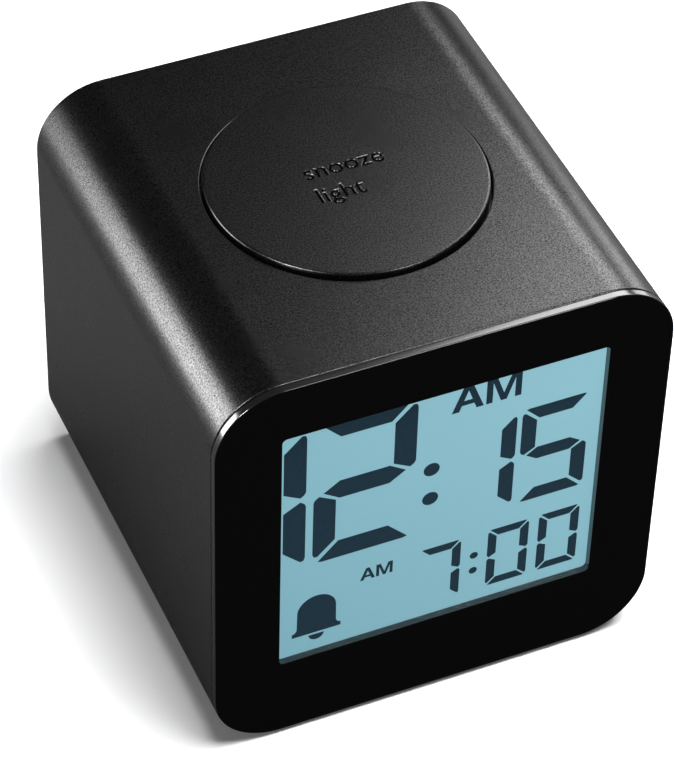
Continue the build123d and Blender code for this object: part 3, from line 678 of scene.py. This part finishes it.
def soften(obj: Object, angle: float) -> None:
    """Smooth the shading under an angle and weigh the normals by face size.

    Args:
        obj: the mesh object.
        angle: steepest smooth angle in degrees.
    """
    only(obj)
    bpy.ops.object.shade_smooth_by_angle(angle=math.radians(angle))
    modifier = obj.modifiers.new("weigh", "WEIGHTED_NORMAL")
    modifier.keep_sharp = True
    modifier.weight = 80
    bpy.ops.object.modifier_apply(modifier=modifier.name)


def dress(obj: Object, material: Material) -> None:
    """Give an object one material in all its slots.

    Args:
        obj: the mesh object.
        material: the material.
    """
    if not obj.data.materials:
        obj.data.materials.append(material)
    for index in range(len(obj.data.materials)):
        obj.data.materials[index] = material


def copied(obj: Object, shift: Place) -> Object:
    """Copy an object with a mesh of its own, moved by a vector.

    Args:
        obj: the object to copy.
        shift: how far the copy's mesh is moved.

    Returns:
        The copy, at the origin like the first one.
    """
    twin = obj.copy()
    twin.data = obj.data.copy()
    bpy.context.collection.objects.link(twin)
    twin.data.transform(Matrix.Translation(shift))
    return twin


@dataclass
class CaseShell:
    """Sleeve of the clock with the round well for the button.

    Attributes:
        corner: outer radius of the long edges.
        wall: wall thickness.
        rim_round: round on the outer edges of both rims.
        button_flange: how far the button's flange reaches past its cap.
        well_gap, well_round: gap round the button, and round on the lip of its well.
        boss_radius, boss_length: size of the corner screw bosses.
        boss_inset: distance of their centres from the outside.
        cover_thickness: thickness of the rear cover that they carry.
    """

    corner: float = 10.4 * MM
    wall: float = 2.2 * MM
    rim_round: float = 0.3 * MM
    button_flange: float = 1.4 * MM
    well_gap: float = 0.36 * MM
    well_round: float = 0.22 * MM
    boss_radius: float = 3.3 * MM
    boss_inset: float = 6.8 * MM
    boss_length: float = 14.0 * MM
    cover_thickness: float = 2.0 * MM

    def build(self, finish: Material) -> Object:
        """Model the sleeve and let it stand for the CAD housing.

        Args:
            finish: material of the sleeve.

        Returns:
            The sleeve.
        """
        low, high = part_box("housing")
        shell = rounded_block("case_shell", low, high, self.corner, CORNER_STEPS)
        bore = rounded_block("bore", (low.x + self.wall, low.y - MM, low.z + self.wall),
                             (high.x - self.wall, high.y + MM, high.z - self.wall),
                             self.corner - self.wall, BORE_STEPS)
        cut(shell, bore)
        self.sink_well(shell, high.z)
        self.round_rims(shell, low, high)
        soften(shell, angle=40.0)
        join(shell, *self.bosses(low, high))
        dress(shell, finish)
        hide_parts("housing")
        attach(shell, "clock_case")
        return shell

    def sink_well(self, shell: Object, top: float) -> None:
        """Cut the round well for the button and round its lip.

        Args:
            shell: the sleeve.
            top: level of its top.
        """
        button_low, button_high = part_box("snooze_button")
        middle = (button_low.y + button_high.y) / 2
        radius = (button_high.x - button_low.x) / 2 - self.button_flange + self.well_gap
        well = disc("well", (0, middle, top), radius, 2 * (self.wall + MM), WELL_SIDES)
        cut(shell, well)

        def on_lip(p: Vector) -> bool:
            """True for a point on the lip of the well."""
            return abs(p.z - top) < LEVEL and abs(math.hypot(p.x, p.y - middle) - radius) < ROUND

        edit(shell, Part.EDGE, lambda a, b: on_lip(a) and on_lip(b))
        bpy.ops.mesh.bevel(offset=self.well_round, segments=ROUND_STEPS)
        leave_edit()

    def round_rims(self, shell: Object, low: Vector, high: Vector) -> None:
        """Round the outer edge of the front and the rear rim.

        Args:
            shell: the sleeve.
            low, high: its lowest and highest corner.
        """
        half_x, half_z = (high.x - low.x) / 2, (high.z - low.z) / 2
        mid_z = (high.z + low.z) / 2

        def outside(p: Vector) -> bool:
            """True for a point on the outer outline."""
            dx = max(abs(p.x) - (half_x - self.corner), 0.0)
            dz = max(abs(p.z - mid_z) - (half_z - self.corner), 0.0)
            return abs(math.hypot(dx, dz) - self.corner) < ROUND

        for level in (low.y, high.y):
            edit(shell, Part.EDGE,
                 lambda a, b: all(abs(p.y - level) < LEVEL and outside(p) for p in (a, b)))
            bpy.ops.mesh.bevel(offset=self.rim_round, segments=ROUND_STEPS)
            leave_edit()

    def bosses(self, low: Vector, high: Vector) -> list[Object]:
        """Model the four bosses behind the corners of the rear cover.

        Args:
            low, high: lowest and highest corner of the sleeve.

        Returns:
            The four bosses.
        """
        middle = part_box("rear_cover")[1].y - self.cover_thickness - self.boss_length / 2
        first = disc("boss", (low.x + self.boss_inset, middle, low.z + self.boss_inset),
                     self.boss_radius, self.boss_length, POST_SIDES, lying=True)
        wide = high.x - low.x - 2 * self.boss_inset
        tall = high.z - low.z - 2 * self.boss_inset
        shifts = ((0, 0, tall), (wide, 0, 0), (wide, 0, tall))
        return [first, *(copied(first, shift) for shift in shifts)]


@dataclass
class FrontPlate:
    """Glossy plate on the front with the display opening and its skirt.

    Attributes:
        corner: radius of the outline.
        thickness: thickness of the plate.
        bevel: width of the bevel round its front edge.
        window_side, window_lift, window_drop: distance of the opening from the plate's sides,
            foot and top.
        window_radius: radius of the opening's corners.
        skirt_inset, skirt_wall: distance of the skirt from the outline, and its thickness.
    """

    corner: float = 10.4 * MM
    thickness: float = 1.1 * MM
    bevel: float = 0.2 * MM
    window_side: float = 10.0 * MM
    window_lift: float = 14.45 * MM
    window_drop: float = 9.35 * MM
    window_radius: float = 0.8 * MM
    skirt_inset: float = 2.35 * MM
    skirt_wall: float = 1.6 * MM

    def build(self, finish: Material) -> Object:
        """Model the plate and let it stand for the CAD front frame.

        Args:
            finish: material of the plate.

        Returns:
            The plate.
        """
        low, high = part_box("front_frame")
        back = low.y + self.thickness
        plate = rounded_block("front_plate", low, (high.x, back, high.z), self.corner,
                              CORNER_STEPS)
        edit(plate, Part.FACE, lambda c, n: n.y < -FACING)
        bpy.ops.mesh.region_to_loop()
        bpy.ops.mesh.bevel(offset=self.bevel, segments=BEVEL_STEPS)
        leave_edit()
        opening = rounded_block(
            "opening",
            (low.x + self.window_side, low.y - MM, low.z + self.window_lift),
            (high.x - self.window_side, back + MM, high.z - self.window_drop),
            self.window_radius, INNER_STEPS)
        cut(plate, opening)
        soften(plate, angle=35.0)
        join(plate, self.skirt(low, high, back))
        dress(plate, finish)
        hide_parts("front_frame")
        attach(plate, "clock_case")
        return plate

    def skirt(self, low: Vector, high: Vector, back: float) -> Object:
        """Model the ring behind the plate that fits the sleeve.

        Args:
            low, high: lowest and highest corner of the front frame.
            back: y of the back of the plate.

        Returns:
            The ring.
        """
        step = self.skirt_inset
        ring = rounded_block("skirt", (low.x + step, back, low.z + step),
                             (high.x - step, high.y, high.z - step), self.corner - step,
                             INNER_STEPS)
        step += self.skirt_wall
        hole = rounded_block("hole", (low.x + step, back - MM, low.z + step),
                             (high.x - step, high.y + MM, high.z - step), self.corner - step,
                             INNER_STEPS)
        cut(ring, hole)
        return ring


@dataclass
class SnoozeCap:
    """Round button on the top with a rounded rim and an engraved legend.

    Attributes:
        flange, flange_height: reach of the flange past the cap, and its height.
        rim_round: radius of the cap's upper edge.
        wall, top: wall of the skirt and thickness of the cap.
        legend: the lines of the legend, each with its baseline from the button's middle.
        legend_margin: width of the plain ring round the legend.
        letter_size, letter_left: font size of the legend and x of its left edge.
        letter_depth, letter_slope: depth of the engraving and width of its sloped sides.
        film: half the thickness of the dark film on the floor of the engraving, painted shade that
            darkens the letters.
        height: height of the cap with its skirt.
        stem_radius: radius of the stem in the middle.
        weld: how near two points of a letter lie that are made one.
    """

    flange: float = 1.4 * MM
    flange_height: float = 1.0 * MM
    rim_round: float = 0.34 * MM
    wall: float = 1.5 * MM
    top: float = 2.0 * MM
    legend: tuple = (("snooze", 1.4 * MM), ("light", -3.9 * MM))
    legend_margin: float = 9.5 * MM
    letter_size: float = 4.35 * MM
    letter_left: float = -5.7 * MM
    letter_depth: float = 0.14 * MM
    letter_slope: float = 0.12 * MM
    film: float = 0.004 * MM
    height: float = 4.15 * MM
    stem_radius: float = 2.5 * MM
    weld: float = 0.002 * MM

    def build(self, finish: Material, painted_shade: Material) -> Object:
        """Model the cap and let it stand for the CAD button.

        Args:
            finish: material of the cap.
            painted_shade: material of the dark film on the floor of the engraving, which is painted
                shade.

        Returns:
            The cap.
        """
        low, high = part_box("snooze_button")
        middle = (low + high) / 2
        radius = (high.x - low.x) / 2 - self.flange
        foot = high.z - self.height
        cap = disc("snooze_cap", (0, middle.y, (foot + high.z) / 2), radius, high.z - foot,
                   CAP_SIDES)
        edit(cap, Part.FACE, lambda c, n: n.z > FACING)
        bpy.ops.mesh.region_to_loop()
        bpy.ops.mesh.bevel(offset=self.rim_round, segments=EDGE_STEPS)
        leave_edit()
        edit(cap, Part.FACE, lambda c, n: n.z < -FACING)
        bpy.ops.mesh.inset(thickness=self.wall)
        bpy.ops.mesh.extrude_region_move(
            TRANSFORM_OT_translate={"value": (0, 0, high.z - foot - self.top)})
        leave_edit()
        edit(cap, Part.FACE, lambda c, n: n.z > FACING and abs(c.z - high.z) < LEVEL)
        bpy.ops.mesh.inset(thickness=self.legend_margin)
        leave_edit()
        flat = self.letter_depth - self.letter_slope
        for words, lift in self.legend:
            cut(cap, self.words(words, middle.y + lift, high.z, flat, self.letter_slope), crossed=True)
        # A dark film on the floor of the engraving: painted shade that darkens the letters.
        level = high.z - self.letter_depth + self.film
        legend = join(*(self.words(words, middle.y + lift, level, self.film, 0.0)
                        for words, lift in self.legend))
        legend.name = "legend_painted_shade"
        dress(legend, painted_shade)
        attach(legend, "snooze_cap")
        soften(cap, angle=32.0)
        lip = disc("lip", (0, middle.y, foot + self.flange_height / 2), radius + self.flange,
                   self.flange_height, LIP_SIDES)
        cut(lip, disc("lip_hole", (0, middle.y, foot), radius - self.wall,
                      4 * self.flange_height, LIP_SIDES))
        stem = disc("stem", (0, middle.y, (low.z + high.z - self.top) / 2),
                    self.stem_radius, high.z - self.top - low.z, POST_SIDES)
        join(cap, lip, stem)
        dress(cap, finish)
        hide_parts("snooze_button")
        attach(cap, "snooze_cap")
        return cap

    def words(self, words: str, y: float, z: float, half: float, slope: float) -> Object:
        """Model one line of the legend as a closed solid about a level.

        Args:
            words: the line.
            y: its baseline.
            z: its middle level.
            half: half its height without the slopes.
            slope: width and height of the slopes at its foot and head.

        Returns:
            The solid.
        """
        deselect()
        bpy.ops.object.text_add(location=(0, 0, 0))
        text = bpy.context.object
        text.data.body = words
        text.data.size = self.letter_size
        text.data.resolution_u = ROUND_STEPS
        text.data.extrude = half
        text.data.bevel_depth = slope
        text.data.bevel_resolution = 0
        bpy.ops.object.convert(target="MESH")
        text = bpy.context.object
        bpy.ops.object.mode_set(mode="EDIT")
        bpy.ops.mesh.select_all(action="SELECT")
        bpy.ops.mesh.remove_doubles(threshold=self.weld)
        bpy.ops.mesh.normals_make_consistent(inside=False)
        leave_edit()
        text.location = (self.letter_left, y, z)
        bpy.ops.object.transform_apply()
        return text


@dataclass(frozen=True)
class DigitStyle:
    """Size of a seven-bar digit and of its bars, with the gap as a share of a bar's width."""

    width: float
    height: float
    bar: float
    gap_share: float = 0.15

    def outline(self, segment: Segment) -> Outline:
        """Give the outline of one bar, from the digit's lower left corner.

        The cut corners are shares of a bar's width.

        Args:
            segment: which bar.

        Returns:
            Corner points, anticlockwise or clockwise.
        """
        w, h, t = self.width, self.height, self.bar
        gap = self.gap_share * t
        if segment is Segment.TOP:
            return [(gap + 0.1 * t, h - 0.06 * t), (gap + 0.28 * t, h), (w - gap - 0.28 * t, h),
                    (w - gap - 0.1 * t, h - 0.06 * t), (w - t - gap, h - t), (t + gap, h - t)]
        if segment is Segment.FOOT:
            return [(x, h - z) for x, z in self.outline(Segment.TOP)]
        if segment is Segment.MIDDLE:
            m = h / 2
            return [(0.44 * t, m), (1.16 * t, m + t / 2), (w - 1.16 * t, m + t / 2),
                    (w - 0.44 * t, m), (w - 1.16 * t, m - t / 2), (1.16 * t, m - t / 2)]
        if segment is Segment.RIGHT_HIGH:
            m = h / 2
            return [(w - t, h - t - gap), (w - 0.22 * t, h - gap - 0.22 * t),
                    (w - 0.06 * t, h - gap - 0.24 * t), (w, h - gap - 0.42 * t),
                    (w, m + 0.42 * t), (w - 0.07 * t, m + 0.26 * t), (w - 0.25 * t, m + 0.12 * t),
                    (w - t, m + 0.56 * t)]
        if segment is Segment.RIGHT_LOW:
            return [(x, h - z) for x, z in self.outline(Segment.RIGHT_HIGH)]
        mirrored = Segment.RIGHT_HIGH if segment is Segment.LEFT_HIGH else Segment.RIGHT_LOW
        return [(w - x, z) for x, z in self.outline(mirrored)]


@dataclass
class DisplayMarks:
    """Digits, dots, letters and the bell on the display.

    The places are counted from the middle line of the clock and from the table.

    Attributes:
        thickness, lift: thickness of the marks and their gap to the glass.
        hours, minutes, alarm: shapes of the digits.
        foot, alarm_foot: level of the foot of the time and of the alarm time.
        hour_row, minute_row, alarm_row: each digit of a row with its left side.
        time_dots, alarm_dots: middles of the dots.
        time_dot, alarm_dot: radius of the dots.
        time_half, alarm_half: left side, baseline and height of the capitals.
        bell: middle of the bell's lower edge.
        bell_radius, bell_dome: radius of its dome, and level of the dome's middle over that edge.
        bell_lip: right side of its flared lip, upward from that edge.
        clapper, clapper_drop: half width and depth of the clapper, and level of its upper edge.
    """

    thickness: float = 0.03 * MM
    lift: float = 0.01 * MM
    hours: DigitStyle = DigitStyle(15.65 * MM, 27.8 * MM, 3.45 * MM)
    minutes: DigitStyle = DigitStyle(10.65 * MM, 18.9 * MM, 2.35 * MM)
    alarm: DigitStyle = DigitStyle(6.6 * MM, 11.8 * MM, 1.4 * MM)
    foot: float = 33.05 * MM
    alarm_foot: float = 17.1 * MM
    hour_row: tuple = (("1", -36.3 * MM), ("2", -19.5 * MM))
    minute_row: tuple = (("1", 1.2 * MM), ("5", 12.65 * MM))
    alarm_row: tuple = (("7", -2.45 * MM), ("0", 8.5 * MM), ("0", 16.7 * MM))
    time_dots: tuple = ((-1.3 * MM, 45.4 * MM), (-1.3 * MM, 39.5 * MM))
    time_dot: float = 1.25 * MM
    alarm_dots: tuple = ((6.35 * MM, 24.55 * MM), (6.35 * MM, 21.35 * MM))
    alarm_dot: float = 0.66 * MM
    time_half: Place = (1.35 * MM, 55.4 * MM, 5.05 * MM)
    alarm_half: Place = (-11.85 * MM, 26.4 * MM, 2.4 * MM)
    bell: tuple = (-18.6 * MM, 18.4 * MM)
    bell_radius: float = 3.05 * MM
    bell_dome: float = 4.75 * MM
    bell_lip: tuple = ((3.85 * MM, 0.0), (3.85 * MM, 0.75 * MM), (3.45 * MM, 0.85 * MM),
                       (3.1 * MM, 1.4 * MM))
    clapper: tuple = (1.2 * MM, 1.15 * MM)
    clapper_drop: float = -0.42 * MM

    def build(self, finish: Material) -> list[Object]:
        """Model all marks on the face of the display glass.

        Args:
            finish: material of the marks.

        Returns:
            The marks, one object for each group.
        """
        groups = {
            "hour_digits": self.row(self.hour_row, self.hours, self.foot),
            "minute_digits": self.row(self.minute_row, self.minutes, self.foot),
            "time_dots": self.dots(self.time_dots, self.time_dot),
            "alarm_digits": self.row(self.alarm_row, self.alarm, self.alarm_foot),
            "alarm_dots": self.dots(self.alarm_dots, self.alarm_dot),
            "time_half": self.half_sign(*self.time_half),
            "alarm_half": self.half_sign(*self.alarm_half),
            "bell_mark": self.bell_parts(),
        }
        made = []
        for name, parts in groups.items():
            mark = join(*parts)
            mark.name = name
            dress(mark, finish)
            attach(mark, "clock_case")
            made.append(mark)
        return made

    def plate(self, points: Outline) -> Object:
        """Model one flat mark from its outline.

        Args:
            points: outline in x and z.

        Returns:
            The mark, a thin closed solid that faces the reader.
        """
        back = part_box("lcd_front_glass")[0].y - self.lift
        deselect()
        bpy.ops.mesh.primitive_circle_add(vertices=len(points), radius=MM, fill_type="NGON")
        obj = bpy.context.object
        bpy.ops.object.mode_set(mode="EDIT")
        mesh = bmesh.from_edit_mesh(obj.data)
        mesh.verts.ensure_lookup_table()
        for vert, (x, z) in zip(mesh.verts, points):
            vert.co = (x, back, z)
        bmesh.update_edit_mesh(obj.data)
        bpy.ops.mesh.select_all(action="SELECT")
        bpy.ops.mesh.extrude_region_move(
            TRANSFORM_OT_translate={"value": (0, -self.thickness, 0)})
        bpy.ops.mesh.select_all(action="SELECT")
        bpy.ops.mesh.normals_make_consistent(inside=False)
        leave_edit()
        return obj

    def row(self, places: tuple, style: DigitStyle, foot: float) -> list[Object]:
        """Model a row of digits, where a digit that repeats is a copy of the first one.

        Args:
            places: each digit with its left side.
            style: shape of the digits.
            foot: level of their foot.

        Returns:
            The digits.
        """
        first: dict[str, tuple[Object, float]] = {}
        digits = []
        for value, x in places:
            if value in first:
                model, model_x = first[value]
                digits.append(copied(model, (x - model_x, 0, 0)))
            else:
                bars = [style.outline(segment) for segment in Segment if segment.value in LIT[value]]
                digit = join(*(self.plate([(x + u, foot + v) for u, v in bar]) for bar in bars))
                first[value] = (digit, x)
                digits.append(digit)
        return digits

    def dots(self, places: tuple, radius: float) -> list[Object]:
        """Model round dots.

        Args:
            places: their middles.
            radius: their radius.

        Returns:
            The dots.
        """
        x, z = places[0]
        turns = [2 * math.pi * i / DOT_SIDES for i in range(DOT_SIDES)]
        first = self.plate([(x + radius * math.cos(t), z + radius * math.sin(t)) for t in turns])
        return [first, *(copied(first, (u - x, 0, v - z)) for u, v in places[1:])]

    def bell_parts(self) -> list[Object]:
        """Model the alarm sign and give its bell and its clapper."""
        x, z = self.bell
        dome = [math.pi * i / DOME_STEPS for i in range(DOME_STEPS + 1)]
        arc = [(self.bell_radius * math.cos(t), self.bell_dome + self.bell_radius * math.sin(t))
               for t in dome]
        left = [(-u, v) for u, v in reversed(self.bell_lip)]
        body = self.plate([(x + u, z + v) for u, v in [*self.bell_lip, *arc, *left]])
        half, depth = self.clapper
        turns = [math.pi * (1 + i / CLAPPER_STEPS) for i in range(CLAPPER_STEPS + 1)]
        clapper = self.plate([(x + half * math.cos(t), z + self.clapper_drop + depth * math.sin(t))
                              for t in turns])
        return [body, clapper]

    def half_sign(self, x: float, z: float, height: float) -> list[Object]:
        """Model the sign for the first half of the day in bold capitals.

        Args:
            x: its left side.
            z: its baseline.
            height: height of the capitals.

        Returns:
            The parts of the two letters.
        """
        other = [(WIDTH_A - u, v) for u, v in LEG_A]
        right = [(START_M + u, v) for u, v in LETTER_M]
        return [self.plate([(x + u * height, z + v * height) for u, v in outline])
                for outline in (LEG_A, other, right)]


def dress_carried() -> int:
    """Give every carried node its material and say how many were dressed."""
    for finish, names in CARRIED.items():
        material = finish.make()
        for name in names:
            dress(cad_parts[name], material)
    return sum(map(len, CARRIED.values()))


@dataclass(frozen=True)
class Lamp:
    """A soft rectangular lamp that points at the clock, with its power in watts."""

    name: str
    place: Place
    width: float
    height: float
    power: float

    def hang(self, target: Place) -> Object:
        """Hang the lamp so that it shines at a point, and give its object."""
        deselect()
        bpy.ops.object.light_add(type="AREA", location=self.place)
        lamp = bpy.context.object
        lamp.name = self.name
        lamp.data.shape = "RECTANGLE"
        lamp.data.size, lamp.data.size_y = self.width, self.height
        lamp.data.energy = self.power
        aim = Vector(target) - Vector(self.place)
        lamp.rotation_euler = aim.to_track_quat("-Z", "Y").to_euler()
        return lamp


@dataclass
class Studio:
    """Pale floor, soft lights and the camera.

    Attributes:
        floor_finish, floor_size: finish and side of the floor.
        cards: lamps that show only as reflections.
        key: lamp that lights without a reflection.
        target: the point that the lamps shine at.
        ambient: strength of the world's light.
        eye, turn: place of the camera and its turn in degrees.
        lens_mm, sensor_mm: focal length of the camera and long side of its sensor.
        clip: nearest distance that it sees.
    """

    floor_finish: FloorFinish = FloorFinish()
    floor_size: float = 6.0
    cards: tuple[Lamp, ...] = (
        Lamp("top_gloss", (0.222, 0.143, 0.300), 0.20, 0.19, 0.92),
        Lamp("right_gloss", (0.42, 0.20, 0.13), 0.20, 0.16, 0.45),
        Lamp("left_gloss", (-0.43, 0.23, 0.12), 0.25, 0.26, 3.0),
        Lamp("rim_gloss", (-0.45, -0.22, 0.45), 0.15, 0.15, 5.0),
        Lamp("front_gloss", (0.20, -0.45, 0.42), 0.14, 0.14, 2.2),
    )
    key: Lamp = Lamp("key", (0.15, -0.12, 0.92), 0.55, 0.55, 20.0)
    target: Place = (0.0, 0.0, 0.04)
    ambient: float = 0.012
    eye: Place = (-0.161833, -0.354231, 0.409513)
    turn: Place = (45.8129, -1.1954, -23.2626)
    lens_mm: float = 168.94
    sensor_mm: float = 36.0
    clip: float = 0.01

    def build(self) -> None:
        """Set up floor, world, lights and camera."""
        self.floor()
        self.world()
        for card in self.cards:
            card.hang(self.target).visible_diffuse = False
        self.key.hang(self.target).visible_glossy = False
        self.camera()
        bpy.context.scene.view_settings.view_transform = "Standard"

    def floor(self) -> None:
        """Lay the pale floor under the feet."""
        deselect()
        bpy.ops.mesh.primitive_plane_add(size=self.floor_size, location=(0, 0, 0))
        floor = bpy.context.object
        floor.name = "floor"
        dress(floor, self.floor_finish.make())

    def world(self) -> None:
        """Light the room evenly and show white behind the object."""
        world = bpy.data.worlds.new("studio")
        bpy.context.scene.world = world
        world.use_nodes = True
        graph = Graph(world)
        ray = graph.add("ShaderNodeLightPath").outputs["Is Camera Ray"]
        strength = graph.map(ray, to_min=self.ambient, to_max=1.0)
        graph.fill(world.node_tree.nodes["Background"],
                   {"Color": (1.0, 1.0, 1.0, 1.0), "Strength": strength})

    def camera(self) -> None:
        """Put the camera where the photograph was taken from."""
        deselect()
        bpy.ops.object.camera_add(location=self.eye)
        camera = bpy.context.object
        camera.rotation_euler = tuple(math.radians(a) for a in self.turn)
        camera.data.sensor_width = self.sensor_mm
        camera.data.lens = self.lens_mm
        camera.data.clip_start = self.clip
        bpy.context.scene.camera = camera


def main() -> None:
    """Build the clock's visible pieces in order and report each one."""
    logging.basicConfig(level=logging.INFO, format="%(message)s")
    Studio().build()
    LOG.info("dressed %d carried nodes", dress_carried())
    pieces = [CaseShell().build(SATIN_CASE.make()), FrontPlate().build(GLOSS_FRAME.make()),
              SnoozeCap().build(SATIN_CASE.make(), PAINTED_SHADE_FILM.make()), *DisplayMarks().build(INK.make())]
    for piece in pieces:
        LOG.info("modelled %s", piece.name)


if __name__ == "__main__":
    main()
